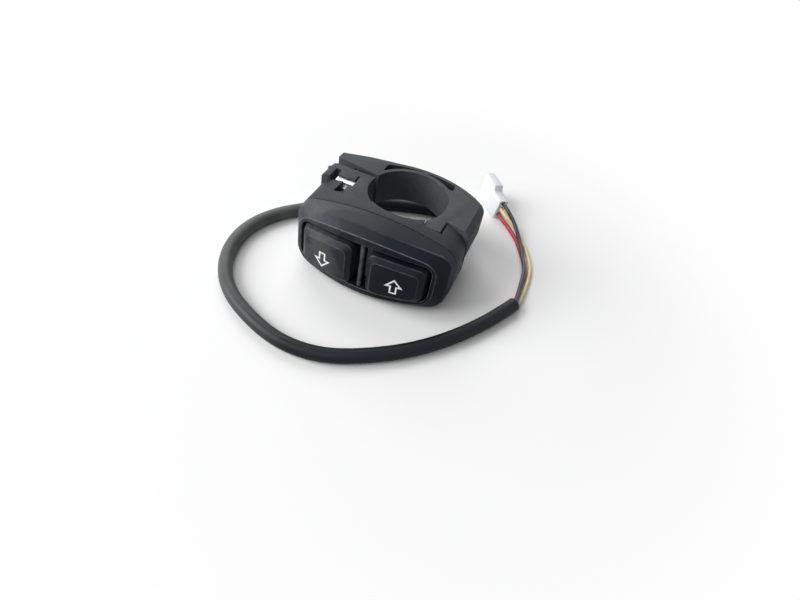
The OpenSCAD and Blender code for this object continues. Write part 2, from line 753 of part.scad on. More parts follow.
module board_screws() {
  color([0.7, 0.7, 0.72])
    for (s = board_screw_places)
      difference() {
        union() {
          along_y(s[0], s[1], board_front_y - eps, board_tip_y, board_screw_d / 2);
          along_y(s[0], s[1], board_front_y - board_head_h, board_front_y, board_screw_d * 0.88);
        }
        cross_slots(s[0], board_front_y - board_head_h, s[1], board_screw_d * 1.1, 0.8);
      }
}

module case_screws() {
  color([0.7, 0.7, 0.72])
    for (s = case_screw_places)
      difference() {
        union() {
          along_y(s[0], s[1], part_y - case_screw_grip, case_head_y + eps, case_screw_d / 2);
          along_y(s[0], s[1], case_head_y, case_head_y + case_head_h, case_head_r);
        }
        cross_slots(s[0], case_head_y + case_head_h, s[1], case_head_r * 1.2, 0.9);
      }
}

// Grommet with a flange inside the wall, a collar outside it and a tapered boot round the lead
module cable_grommet() {
  hole = sheath_r + cord_clear;
  neck = hole + 0.3;
  flange_t = 1;
  collar_r = neck + 0.4;
  collar_t = 1;
  boot_len = 7;
  boot_wall = 0.25;
  color([0.12, 0.12, 0.12])
    translate([lead_x, shoulder_y, lead_z])
      rotate([-90, 0, 0])
        rotate_extrude($fn = round_fn)
          polygon([[hole, -exit_wall - flange_t], [flange_r, -exit_wall - flange_t], [flange_r, -exit_wall],
            [neck, -exit_wall], [neck, 0], [collar_r, 0], [collar_r, collar_t], [neck, collar_t + 0.4],
            [hole + boot_wall, boot_len], [hole, boot_len]]);
}

// Tie drawn tight round the lead inside the housing, so that it cannot be pulled out
module cord_tie() {
  tie_y = -7.6;
  tie_w = 1.2;
  color([0.85, 0.85, 0.83])
    difference() {
      union() {
        along_y(lead_x, lead_z, tie_y, tie_y + tie_w, sheath_r + cord_clear + 0.25);
        translate([lead_x, tie_y - 0.2, lead_z])
          rotate([0, 45, 0])
            block([-0.5, 0, 1.5], [0.5, tie_w + 0.4, sheath_r + 1]);
      }
      along_y(lead_x, lead_z, tie_y - 1, tie_y + tie_w + 1, sheath_r + cord_clear);
    }
}

// Three leads inside, from the sheath's inner end to the board
module inner_leads() {
  pad_x = 12.6;
  color([0.7, 0.1, 0.1])
    for (i = [0:2]) {
      a = 90 + i * 120;
      rod([lead_x + core_pack_r * cos(a), lead_inner_y - eps, lead_z + core_pack_r * sin(a)],
        [pad_x, board_back_y + 0.3, lead_z + (1 - i) * 1.5], core_r - 0.15);
    }
}

// A round tube swept along a route, one ring of points at each route point
function unit(v) = v / norm(v);
function heading(route, i) = unit(route[min(i + 1, len(route) - 1)] - route[max(i - 1, 0)]);
function side_of(t) = unit(cross(abs(t[2]) < 0.9 ? [0, 0, 1] : [1, 0, 0], t));
function tube_ring(c, t, r, n) = let (u = side_of(t), v = cross(t, u))
  [for (j = [0:n - 1]) let (a = 360 * (j + 0.5) / n)
    c + r / cos(180 / n) * 0.985 * (u * cos(a) + v * sin(a))];

// The route with a point added halfway along every step, on a smooth curve
function halfway(p, i) = i == 0 || i == len(p) - 2
  ? (p[i] + p[i + 1]) / 2
  : (9 * p[i] + 9 * p[i + 1] - p[i - 1] - p[i + 2]) / 16;
function on_floor(v) = [v[0], v[1], max(v[2], core_lay_z)];
function smooth(p) = concat([for (i = [0:len(p) - 2]) each [p[i], on_floor(halfway(p, i))]], [p[len(p) - 1]]);

module tube(route, r, n) {
  count = len(route);
  rings = [for (i = [0:count - 1]) tube_ring(route[i], heading(route, i), r, n)];
  last = (count - 1) * n;
  polyhedron(
    points = [for (g = rings) each g],
    faces = concat(
      [for (i = [0:count - 2]) for (j = [0:n - 1]) let (k = (j + 1) % n, a = i * n, b = (i + 1) * n)
        each [[a + j, a + k, b + k], [a + j, b + k, b + j]]],
      [[for (j = [n - 1:-1:0]) j]], [[for (j = [0:n - 1]) last + j]]),
    convexity = 10);
}

module cable_sheath() {
  color([0.08, 0.08, 0.09])
    tube(sheath_route, sheath_r, 8);
}

module core_black() {
  color([0.06, 0.06, 0.07])
    tube(smooth(black_route), core_r, 8);
}

module core_yellow() {
  color([0.93, 0.82, 0.5])
    tube(smooth(yellow_route), core_r, 8);
}

module core_red() {
  color([0.75, 0.12, 0.12])
    tube(smooth(red_route), core_r, 8);
}

// Places a piece in the plug's own frame
module at_plug() {
  translate(plug_at)
    rotate([0, 0, plug_turn])
      rotate([plug_lean, 0, 0])
        children();
}

// Plug on its narrow side: three contact wells, a raised shoulder and a mouth for the other half
module plug_housing() {
  shoulder_x = 5.1;
  shoulder_h = plug_w + 1.9;
  well_r = core_r + 0.15;
  mouth = 4;
  wall = 0.8;
  color([0.95, 0.95, 0.95])
    at_plug()
      difference() {
        rotate([90, 0, 0])
          linear_extrude(plug_t)
            polygon([[0, 0], [plug_len - 2.3, 0], [plug_len - 0.9, 2.4], [plug_len - 0.9, 5.2],
              [plug_len, shoulder_h], [shoulder_x + 0.9, shoulder_h], [shoulder_x, plug_w + 0.3],
              [0, plug_w]]);
        for (i = [-1:1])
          translate([-1, -plug_t / 2, contact_z + i * contact_pitch])
            rotate([0, 90, 0])
              cylinder(h = plug_len - mouth + 1.5, r = well_r, $fn = small_fn);
        block([plug_len - mouth, -plug_t + wall, contact_z - contact_pitch - well_r],
          [plug_len + 1, -wall, shoulder_h - wall]);
      }
}

module plug_contacts() {
  color([0.85, 0.75, 0.45])
    at_plug()
      for (i = [-1:1])
        translate([core_end_x + eps, -plug_t / 2, contact_z + i * contact_pitch])
          rotate([0, 90, 0])
            cylinder(h = plug_len - 3.5, r = core_r, $fn = small_fn);
}

front_bezel();
housing();
clamp_block();
rear_clamp();
hinge_pin();
clamp_screw();
screw_washer();
clamp_nut();
down_button();
up_button();
plunger_down();
plunger_up();
switch_base_down();
switch_base_up();
seal_mat();
circuit_board();
board_screws();
case_screws();
cable_grommet();
cord_tie();
inner_leads();
cable_sheath();
core_black();
core_yellow();
core_red();
plug_housing();
plug_contacts();
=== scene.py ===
import bpy
import bmesh
import math
from mathutils import Matrix, Vector


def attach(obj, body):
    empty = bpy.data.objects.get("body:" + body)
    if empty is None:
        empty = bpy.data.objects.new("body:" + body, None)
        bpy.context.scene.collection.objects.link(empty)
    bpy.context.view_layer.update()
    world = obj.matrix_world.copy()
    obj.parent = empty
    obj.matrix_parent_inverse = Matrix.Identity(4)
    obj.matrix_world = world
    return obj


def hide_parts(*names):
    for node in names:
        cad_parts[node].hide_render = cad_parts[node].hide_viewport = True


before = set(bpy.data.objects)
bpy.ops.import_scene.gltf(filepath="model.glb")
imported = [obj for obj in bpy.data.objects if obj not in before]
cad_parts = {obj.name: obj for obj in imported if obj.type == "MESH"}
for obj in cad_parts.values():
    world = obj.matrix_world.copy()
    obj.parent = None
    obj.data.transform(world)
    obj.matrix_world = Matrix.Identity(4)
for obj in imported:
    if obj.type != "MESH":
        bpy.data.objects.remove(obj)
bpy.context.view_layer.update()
MM = 0.001
scene = bpy.context.scene
scene.view_settings.view_transform = "Standard"

# Camera, as in the photograph
SENSOR_WIDTH, LENS = 36.0, 27.0
CLIP_NEAR, CLIP_FAR = 0.01, 20.0
CAMERA_RIGHT = (0.9115, 0.3863, 0.1412)
CAMERA_UP = (-0.3699, 0.6199, 0.6920)
CAMERA_BACK = (0.1798, -0.6830, 0.7080)
CAMERA_AT = (0.03776, -0.12998, 0.10033)


def link(name, data):
    obj = bpy.data.objects.new(name, data)
    scene.collection.objects.link(obj)
    return obj


cam_data = bpy.data.cameras.new("camera")
cam_data.sensor_width = SENSOR_WIDTH
cam_data.lens = LENS
cam_data.clip_start = CLIP_NEAR
cam_data.clip_end = CLIP_FAR
camera = link("camera", cam_data)
camera.matrix_world = Matrix([*zip(CAMERA_RIGHT, CAMERA_UP, CAMERA_BACK, CAMERA_AT), (0, 0, 0, 1)])
scene.camera = camera

# Heights at which the lead and its cores lie, in millimetres: on the floor, and one core over another
FLOOR_Z = -14.7
SHEATH_R, SHEATH_SIDES = 1.9, 28
CORE_R, CORE_SIDES = 0.6, 14
LAY_Z = FLOOR_Z + SHEATH_R
CORE_Z = FLOOR_Z + CORE_R
OVER_Z = CORE_Z + 2 * CORE_R
CORD_STEPS = 4
END_SHARE, END_SHIFT = 0.86, 0.16


def smooth_line(points, low):
    """A smooth run, in metres, through points in millimetres. It doesn't go below a lowest height."""
    line = []
    count = len(points)
    for i in range(count - 1):
        p0 = Vector(points[max(i - 1, 0)])
        p1 = Vector(points[i])
        p2 = Vector(points[i + 1])
        p3 = Vector(points[min(i + 2, count - 1)])
        for k in range(CORD_STEPS):
            t = k / CORD_STEPS
            q = 0.5 * ((2 * p1) + (p2 - p0) * t + (2 * p0 - 5 * p1 + 4 * p2 - p3) * t * t
                       + (3 * p1 - p0 - 3 * p2 + p3) * t ** 3)
            line.append(Vector((q[0], q[1], max(q[2], low))) * MM)
    line.append(Vector(points[-1]) * MM)
    return line


def cord_points(line, radius, sides):
    """Points around a line, with a smaller ring at each end."""
    last = len(line) - 1
    verts, across = [], None
    for i, p in enumerate(line):
        along = (line[min(i + 1, last)] - line[max(i - 1, 0)]).normalized()
        across = along.orthogonal() if across is None else across - along * across.dot(along)
        across.normalize()
        other = along.cross(across)
        reach = [(1.0, 0.0)]
        if i == 0:
            reach = [(END_SHARE, 0.0), (1.0, END_SHIFT)]
        if i == last:
            reach = [(1.0, -END_SHIFT), (END_SHARE, 0.0)]
        for share, shift in reach:
            for k in range(sides):
                turn = 2 * math.pi * k / sides
                verts.append(p + along * shift * radius * MM
                             + (across * math.cos(turn) + other * math.sin(turn)) * radius * share * MM)
    return verts


def round_cord(name, points, radius, sides):
    """A round cord with slightly rounded ends, and the line it follows, in metres."""
    line = smooth_line(points, FLOOR_Z + radius)
    verts = cord_points(line, radius, sides)
    rings = len(verts) // sides
    faces = []
    for r in range(rings - 1):
        low, high = r * sides, (r + 1) * sides
        faces += [(low + k, low + (k + 1) % sides, high + (k + 1) % sides, high + k) for k in range(sides)]
    faces += [tuple(range(sides))[::-1], tuple(range((rings - 1) * sides, rings * sides))]
    mesh = bpy.data.meshes.new(name)
    mesh.from_pydata([tuple(v) for v in verts], [], faces)
    for f in mesh.polygons:
        f.use_smooth = len(f.vertices) == 4
    return link(name, mesh), line


# The lead and its cores, in millimetres, on the routes of the solids. The cores lie a little closer together
SHEATH = [
    (15.4, -9, -8.4), (15.4, -5, -8.4), (15.4, -1, -8.4), (15.4, 3, -8.4), (15.4, 6.5, -8.8),
    (15.2, 10, -10), (14.2, 14, -11.7), (12, 17.8, LAY_Z), (8.6, 20.6, LAY_Z), (4, 21.4, LAY_Z),
    (-2, 19.6, LAY_Z), (-8, 17, LAY_Z), (-14, 14.2, LAY_Z), (-20, 10.4, LAY_Z), (-26, 5.2, LAY_Z),
    (-31.6, -1, LAY_Z), (-36.4, -7, LAY_Z), (-39.6, -14, LAY_Z), (-40.4, -21.6, LAY_Z),
    (-38.6, -29.4, LAY_Z), (-34.6, -36.2, LAY_Z), (-29, -41.4, LAY_Z), (-22, -45.2, LAY_Z),
    (-14.6, -47.8, LAY_Z), (-8, -48.6, LAY_Z), (-1, -47.6, LAY_Z), (6, -44.4, LAY_Z),
    (14, -38.8, LAY_Z), (20.6, -32.6, LAY_Z), (26.4, -25.4, LAY_Z), (31.4, -17.6, LAY_Z),
    (35, -10.6, LAY_Z), (37.2, -5.8, LAY_Z)]
PLUG_T, PLUG_W = 3.0, 6.3
LEAN, TURN = math.radians(10), math.radians(131)
PLUG_AT = Vector((20.3, 30.65, FLOOR_Z + PLUG_T * math.sin(LEAN)))
PLUG_MATRIX = Matrix.Rotation(TURN, 3, "Z") @ Matrix.Rotation(LEAN, 3, "X")


def in_plug(x, y, z):
    """A place in the plug's own frame, in millimetres, brought into the part's frame."""
    return tuple(PLUG_AT + PLUG_MATRIX @ Vector((x, y, z)))


MID_Z = PLUG_W / 2 + 0.2
BLACK = [
    (37.2, -5.8, LAY_Z + 0.7), (37.2, -3.4, LAY_Z + 0.5), (36.75, 2.5, OVER_Z + 0.2), (36, 9.7, OVER_Z),
    (33.7, 16, OVER_Z), (31.1, 21.9, -12.4), (27.8, 26.9, -11), in_plug(-3, -PLUG_T / 2, MID_Z + 2),
    in_plug(0.5, -PLUG_T / 2, MID_Z + 2)]
YELLOW = [
    (37.75, -6.05, LAY_Z - 0.35), (38.15, -3.4, LAY_Z - 0.7), (38.3, 3.8, CORE_Z), (37.7, 11, CORE_Z),
    (35.8, 16.9, CORE_Z), (32.4, 23, CORE_Z), (27.8, 27.7, -12.4), in_plug(-3, -PLUG_T / 2, MID_Z),
    in_plug(0.5, -PLUG_T / 2, MID_Z)]
RED = [
    (36.75, -5.6, LAY_Z - 0.35), (37.1, -3.4, LAY_Z - 0.7), (36.85, 4, CORE_Z), (36.5, 10.2, CORE_Z),
    (33.6, 17.1, CORE_Z), (30.2, 23.2, CORE_Z), (26.7, 27.4, -13.9), in_plug(-3, -PLUG_T / 2, MID_Z - 2),
    in_plug(0.5, -PLUG_T / 2, MID_Z - 2)]

sheath, sheath_line = round_cord("lead_sheath", SHEATH, SHEATH_R, SHEATH_SIDES)
black, black_line = round_cord("lead_core_black", BLACK, CORE_R, CORE_SIDES)
yellow, yellow_line = round_cord("lead_core_yellow", YELLOW, CORE_R, CORE_SIDES)
red, red_line = round_cord("lead_core_red", RED, CORE_R, CORE_SIDES)
for piece, node in ((sheath, "cable_sheath"), (black, "core_black"), (yellow, "core_yellow"),
                    (red, "core_red")):
    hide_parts(node)
    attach(piece, "case")


# Materials
def give(obj, mat):
    obj.data.materials.clear()
    obj.data.materials.append(mat)


def new_material(name):
    """A material with one principled shader: the material, its node tree and the shader."""
    mat = bpy.data.materials.new(name)
    mat.use_nodes = True
    nt = mat.node_tree
    nt.nodes.clear()
    out = nt.nodes.new("ShaderNodeOutputMaterial")
    shader = nt.nodes.new("ShaderNodeBsdfPrincipled")
    nt.links.new(shader.outputs["BSDF"], out.inputs["Surface"])
    return mat, nt, shader


def noise(nt, coords, scale, detail, rough, distortion=0.0):
    n = nt.nodes.new("ShaderNodeTexNoise")
    n.inputs["Scale"].default_value = scale
    n.inputs["Detail"].default_value = detail
    n.inputs["Roughness"].default_value = rough
    n.inputs["Distortion"].default_value = distortion
    nt.links.new(coords, n.inputs["Vector"])
    return n.outputs["Fac"]


def ramp(nt, value, low, low_color, high, high_color):
    r = nt.nodes.new("ShaderNodeValToRGB")
    for stop, place, color in zip(r.color_ramp.elements, (low, high), (low_color, high_color)):
        stop.position = place
        stop.color = (*color, 1)
    nt.links.new(value, r.inputs["Fac"])
    return r.outputs["Color"]


def grey_ramp(nt, value, a, b, low=0.35, high=0.65):
    return ramp(nt, value, low, (a, a, a), high, (b, b, b))


def product(nt, a, b):
    node = nt.nodes.new("ShaderNodeMath")
    node.operation = "MULTIPLY"
    nt.links.new(a, node.inputs[0])
    nt.links.new(b, node.inputs[1])
    return node.outputs[0]


def weighted(nt, a, share_a, b, share_b):
    """The sum of two values, each times its share."""
    scaled = nt.nodes.new("ShaderNodeMath")
    scaled.operation = "MULTIPLY"
    scaled.inputs[1].default_value = share_a
    nt.links.new(a, scaled.inputs[0])
    total = nt.nodes.new("ShaderNodeMath")
    total.operation = "MULTIPLY_ADD"
    total.inputs[1].default_value = share_b
    nt.links.new(b, total.inputs[0])
    nt.links.new(scaled.outputs[0], total.inputs[2])
    return total.outputs[0]


def covered(nt, share, color, cover):
    """The first colour, covered by a plain one in a given share."""
    mix = nt.nodes.new("ShaderNodeMixRGB")
    mix.inputs["Color2"].default_value = (*cover, 1)
    nt.links.new(share, mix.inputs["Fac"])
    nt.links.new(color, mix.inputs["Color1"])
    return mix.outputs["Color"]


def bump(nt, height, strength, distance, normal=None):
    b = nt.nodes.new("ShaderNodeBump")
    b.inputs["Strength"].default_value = strength
    b.inputs["Distance"].default_value = distance
    nt.links.new(height, b.inputs["Height"])
    if normal is not None:
        nt.links.new(normal, b.inputs["Normal"])
    return b.outputs["Normal"]


def coords_of(nt):
    return nt.nodes.new("ShaderNodeTexCoord").outputs["Object"]


# Painted light: a paler film towards the part's left end, and the lead's, where the light from the left
# falls. It begins at one x and is full at another, in millimetres
LEFT_LIGHT_COLOR = (0.15, 0.152, 0.15)
LEFT_LIGHT_NONE_X, LEFT_LIGHT_FULL_X, LEFT_LIGHT_THIN = 3, -20, 0.35
LEAD_LIGHT_NONE_X, LEAD_LIGHT_FULL_X, LEAD_LIGHT_THIN = -8, -40, 0.75


def painted_left_light(nt, co, color, patches, x_none, x_full, amount, thin):
    """A paler film over a colour, as painted light from the left: none at x_none, most at x_full, and in
    patches.
    """
    split = nt.nodes.new("ShaderNodeSeparateXYZ")
    nt.links.new(co, split.inputs[0])
    span = nt.nodes.new("ShaderNodeMapRange")
    span.inputs["From Min"].default_value = x_none * MM
    span.inputs["From Max"].default_value = x_full * MM
    span.inputs["To Min"].default_value = 0.0
    span.inputs["To Max"].default_value = amount
    nt.links.new(split.outputs["X"], span.inputs["Value"])
    light_share = product(nt, span.outputs["Result"], grey_ramp(nt, patches, thin, 1.0, 0.42, 0.60))
    return covered(nt, light_share, color, LEFT_LIGHT_COLOR)


# Scales of the materials' noise, for each metre, and strengths and depths of their bumps
BLOTCH, MOTTLE, GRAIN = 90.0, 630.0, 5200.0
METAL_PATCH, METAL_GRAIN = 260.0, 2500.0
VINYL_PATCH, VINYL_GRAIN = 160.0, 3000.0
FINE_DEPTH = 0.00003
BLOTCH_SHARE, MOTTLE_SHARE = 0.65, 0.35
GRAIN_BUMP, GRAIN_DEPTH = 0.25, 0.00004
MOTTLE_BUMP, MOTTLE_DEPTH = 0.125, 0.00006
RUBBED_ROUGH = 0.27


def moulded(name, dark, light, rough_a, rough_b, specular, edge=None, tint=(1, 1, 1), left_light=0.0):
    """Moulded plastic: a fine grain, slow blotches of sheen, faint scuffs, corners painted paler as a
    highlight and scuffed smoother, and painted light towards the left end.
    """
    mat, nt, shader = new_material(name)
    co = coords_of(nt)
    slow = noise(nt, co, BLOTCH, 4.0, 0.6, 0.3)
    mid = noise(nt, co, MOTTLE, 3.0, 0.6)
    fine = noise(nt, co, GRAIN, 2.0, 0.5)
    patches = weighted(nt, slow, BLOTCH_SHARE, mid, MOTTLE_SHARE)
    body = ramp(nt, patches, 0.35, dark, 0.66, light)
    rough = grey_ramp(nt, patches, rough_a, rough_b)
    # Painted highlight: corners take a paler colour; they are also scuffed to a lower roughness
    if edge is not None:
        edge_sheen_wear_attr = nt.nodes.new("ShaderNodeAttribute")
        edge_sheen_wear_attr.attribute_name = "edge_sheen_wear"
        sheen_and_wear = product(nt, edge_sheen_wear_attr.outputs["Fac"], grey_ramp(nt, mid, 0.45, 1.0, 0.38, 0.62))
        body = covered(nt, sheen_and_wear, body, edge)
        rough = covered(nt, sheen_and_wear, rough, (RUBBED_ROUGH, RUBBED_ROUGH, RUBBED_ROUGH))
    # Painted light: a paler film towards the left end, where the light from the left falls
    if left_light > 0:
        body = painted_left_light(nt, co, body, slow, LEFT_LIGHT_NONE_X, LEFT_LIGHT_FULL_X, left_light, LEFT_LIGHT_THIN)
    nt.links.new(body, shader.inputs["Base Color"])
    nt.links.new(rough, shader.inputs["Roughness"])
    grain = bump(nt, fine, GRAIN_BUMP, GRAIN_DEPTH)
    nt.links.new(bump(nt, mid, MOTTLE_BUMP, MOTTLE_DEPTH, grain), shader.inputs["Normal"])
    shader.inputs["Specular IOR Level"].default_value = specular
    shader.inputs["Specular Tint"].default_value = (*tint, 1)
    return mat


def metal(name, base, rough):
    """Plated or plain metal with a fine brushed sheen and slow patches."""
    mat, nt, shader = new_material(name)
    co = coords_of(nt)
    fine = noise(nt, co, METAL_GRAIN, 2.0, 0.6)
    slow = noise(nt, co, METAL_PATCH, 3.0, 0.6)
    low = tuple(c * 0.82 for c in base)
    nt.links.new(ramp(nt, slow, 0.3, low, 0.7, base), shader.inputs["Base Color"])
    nt.links.new(grey_ramp(nt, fine, rough * 0.8, rough * 1.3), shader.inputs["Roughness"])
    nt.links.new(bump(nt, fine, 0.2, FINE_DEPTH), shader.inputs["Normal"])
    shader.inputs["Metallic"].default_value = 1.0
    return mat


def vinyl(name, base, rough, specular=0.5, variation=0.12, left_light=0.0):
    """Smooth plastic or rubber whose colour and sheen vary a little, and where asked a paler film towards the
    left end as painted light.
    """
    mat, nt, shader = new_material(name)
    co = coords_of(nt)
    slow = noise(nt, co, VINYL_PATCH, 3.0, 0.55)
    fine = noise(nt, co, VINYL_GRAIN, 2.0, 0.5)
    low = tuple(c * (1 - variation) for c in base)
    high = tuple(min(1.0, c * (1 + variation)) for c in base)
    color = ramp(nt, slow, 0.3, low, 0.7, high)
    # Painted light: a paler film towards the lead's left end, where the light from the left falls
    if left_light > 0:
        color = painted_left_light(nt, co, color, slow, LEAD_LIGHT_NONE_X, LEAD_LIGHT_FULL_X, left_light, LEAD_LIGHT_THIN)
    nt.links.new(color, shader.inputs["Base Color"])
    nt.links.new(grey_ramp(nt, slow, rough * 0.85, min(1.0, rough * 1.15)), shader.inputs["Roughness"])
    nt.links.new(bump(nt, fine, 0.15, FINE_DEPTH), shader.inputs["Normal"])
    shader.inputs["Specular IOR Level"].default_value = specular
    return mat


COOL = (0.80, 0.89, 1.0)
# Each edge colour is a painted highlight along the corners, which are also scuffed smoother
MAT = {
    # The paler film towards the left end on the case, the buttons and the sheath is painted light from the
    # left
    "case": moulded("case_plastic", (0.005, 0.007, 0.011), (0.012, 0.015, 0.021), 0.40, 0.56, 0.12,
                    edge=(0.20, 0.205, 0.215), tint=COOL, left_light=0.62),
    "shell": moulded("shell_plastic", (0.024, 0.027, 0.031), (0.038, 0.041, 0.046), 0.44, 0.58, 0.17,
                     edge=(0.22, 0.225, 0.235), tint=(0.82, 0.90, 1.0)),
    "clamp": moulded("clamp_plastic", (0.053, 0.056, 0.062), (0.080, 0.083, 0.089), 0.48, 0.60, 0.10,
                     edge=(0.30, 0.305, 0.31), tint=(0.85, 0.92, 1.0)),
    # Painted shade: a darker copy of the clamp plastic for the inside of the jaw's pockets
    "pocket": moulded("pocket_painted_shade", (0.020, 0.021, 0.024), (0.028, 0.030, 0.034), 0.6, 0.7, 0.12),
    "button": moulded("button_plastic", (0.004, 0.006, 0.010), (0.009, 0.012, 0.017), 0.36, 0.52, 0.14,
                      edge=(0.09, 0.095, 0.10), tint=COOL, left_light=0.65),
    "steel": metal("zinc_steel", (0.66, 0.66, 0.655), 0.40),
    "brass": metal("contact_brass", (0.80, 0.62, 0.32), 0.3),
    "sheath": vinyl("sheath_vinyl", (0.006, 0.008, 0.012), 0.44, 0.20, 0.18, left_light=0.86),
    "black": vinyl("core_black_vinyl", (0.012, 0.012, 0.012), 0.35, 0.5),
    "yellow": vinyl("core_yellow_vinyl", (0.82, 0.72, 0.42), 0.40, 0.5, 0.05),
    "red": vinyl("core_red_vinyl", (0.55, 0.040, 0.050), 0.38, 0.5),
    "plug": vinyl("plug_nylon", (0.85, 0.86, 0.89), 0.42, 0.5, 0.03),
    "arrow": vinyl("arrow_print", (0.95, 0.96, 0.97), 0.5, 0.4, 0.02),
    "rubber": vinyl("grommet_rubber", (0.018, 0.018, 0.020), 0.62, 0.35),
    # Painted shade: near-black for the strip in the joint between bezel and housing
    "seam_shade": vinyl("seam_painted_shade", (0.002, 0.002, 0.0025), 0.9, 0.05),
    "silicone": vinyl("silicone", (0.30, 0.31, 0.33), 0.6, 0.4),
    "board": vinyl("board_green", (0.03, 0.16, 0.07), 0.35, 0.5),
    "nylon": vinyl("tie_nylon", (0.72, 0.72, 0.68), 0.45, 0.5),
    "switch": vinyl("switch_black", (0.03, 0.03, 0.03), 0.4, 0.5),
    "copper_core": vinyl("inner_core", (0.35, 0.05, 0.04), 0.4, 0.5),
}
for piece, key in ((sheath, "sheath"), (black, "black"), (yellow, "yellow"), (red, "red")):
    give(piece, MAT[key])

NODE_MATS = {
    "housing": "shell", "front_bezel": "case", "clamp_block": "clamp", "rear_clamp": "clamp",
    "clamp_screw": "steel", "screw_washer": "steel", "clamp_nut": "steel", "hinge_pin": "steel",
    "down_button": "button", "up_button": "button", "plunger_down": "nylon", "plunger_up": "nylon",
    "switch_base_down": "switch", "switch_base_up": "switch", "seal_mat": "silicone",
    "circuit_board": "board", "board_screws": "steel", "case_screws": "steel", "cable_grommet": "rubber",
    "cord_tie": "nylon", "inner_leads": "copper_core", "cable_sheath": "sheath", "core_black": "black",
    "core_yellow": "yellow", "core_red": "red", "plug_housing": "plug", "plug_contacts": "brass"}
for name, key in NODE_MATS.items():
    give(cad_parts[name], MAT[key])


# Mesh helpers. A corner's painted highlight and scuffing begin, and are full, where it turns this tightly, in
# radians per millimetre
SHEEN_WEAR_FROM, SHEEN_WEAR_FULL = 0.8, 2.4
WIDE_FACE = 0.6 * MM * MM
SHORT_EDGE, SHORT_REACH = 1e-7, 0.01


def metres(p):
    return tuple(c * MM for c in p)


def smooth_shade(obj, angle):
    me = obj.data
    for p in me.polygons:
        p.use_smooth = True
    me.set_sharp_from_angle(angle=math.radians(angle))


def edge_level(e):
    """How much a convex edge is painted paler as a highlight and scuffed smoother, from 0 to 1. No other edge
    gets any.
    """
    a, b = e.verts[0].co, e.verts[1].co
    along = b - a
    if len(e.link_faces) != 2 or not e.is_convex or along.length < SHORT_EDGE:
        return 0.0
    along.normalize()
    reach = 0.0
    for f in e.link_faces:
        gap = f.calc_center_median() - a
        reach += (gap - along * gap.dot(along)).length / MM
    turn = e.calc_face_angle(0.0) / max(reach, SHORT_REACH)
    return min(1.0, max(0.0, (turn - SHEEN_WEAR_FROM) / (SHEEN_WEAR_FULL - SHEEN_WEAR_FROM)))


def mark_edges(obj):
    """Stores for each point how much its corners are painted paler as a highlight and scuffed smoother. The
    points of wide faces stay plain.
    """
    bm = bmesh.new()
    bm.from_mesh(obj.data)
    sheen_wear_levels = [0.0] * len(bm.verts)
    for e in bm.edges:
        level = edge_level(e)
        for v in e.verts:
            sheen_wear_levels[v.index] = max(sheen_wear_levels[v.index], level)
    for v in bm.verts:
        if any(f.calc_area() > WIDE_FACE for f in v.link_faces):
            sheen_wear_levels[v.index] = 0.0
    bm.free()
    layer = obj.data.attributes.new("edge_sheen_wear", "FLOAT", "POINT")
    layer.data.foreach_set("value", sheen_wear_levels)


def mesh_object(name, verts, faces, mat, angle):
    me = bpy.data.meshes.new(name)
    me.from_pydata([metres(v) for v in verts], [], faces)
    me.validate()
    bm = bmesh.new()
    bm.from_mesh(me)
    bmesh.ops.recalc_face_normals(bm, faces=bm.faces)
    bm.to_mesh(me)
    bm.free()
    obj = link(name, me)
    give(obj, mat)
    smooth_shade(obj, angle)
    mark_edges(obj)
    return obj


def arc(cx, cy, r, a0, a1, n):
    """Points on a circle, between two angles in degrees."""
    return [(cx + r * math.cos(math.radians(a0 + (a1 - a0) * i / n)),
             cy + r * math.sin(math.radians(a0 + (a1 - a0) * i / n))) for i in range(n + 1)]


def between(p, q, n):
    """Points between two others, without the two."""
    return [(p[0] + (q[0] - p[0]) * i / n, p[1] + (q[1] - p[1]) * i / n) for i in range(1, n)]


def rounded_rect(w, h, r, corner=9, wide=30, tall=14):
    """A rounded rectangle, from its half width, half height and radius, in so many steps for each piece."""
    cw, ch = w - r, h - r
    return (arc(cw, ch, r, 0, 90, corner) + between((cw, h), (-cw, h), wide)
            + arc(-cw, ch, r, 90, 180, corner) + between((-w, ch), (-w, -ch), tall)
            + arc(-cw, -ch, r, 180, 270, corner) + between((-cw, -h), (cw, -h), wide)
            + arc(cw, -ch, r, 270, 360, corner) + between((w, -ch), (w, ch), tall))


def drop(x, y, full, top_r, low_r):
    """How far a point moves inwards where the top or the bottom edge is arched."""
    return math.copysign(min(1.0, abs(y) / full), y) * x * x / (2 * (top_r if y > 0 else low_r))


def arched(w, h, r, top_r, low_r):
    return [(p[0], p[1] - drop(p[0], p[1], h - r, top_r, low_r)) for p in rounded_rect(w, h, r)]


# The front's faces bow back towards both sides, from a middle in x, on a radius of 64 mm
WINDOW_X = -2.4
BOW = 1 / 64


def ring(pts, x, z, y, bow=0.0):
    """An outline seen from the front, set at its depth y and bowed."""
    return [Vector((x + p[0], y + bow * (x + p[0] - WINDOW_X) ** 2 / 2, z + p[1])) for p in pts]


# A rounding has so many steps, and takes up less than half of the way to the next ring
SOFT_STEPS, SOFT_SHARE = 5, 0.48


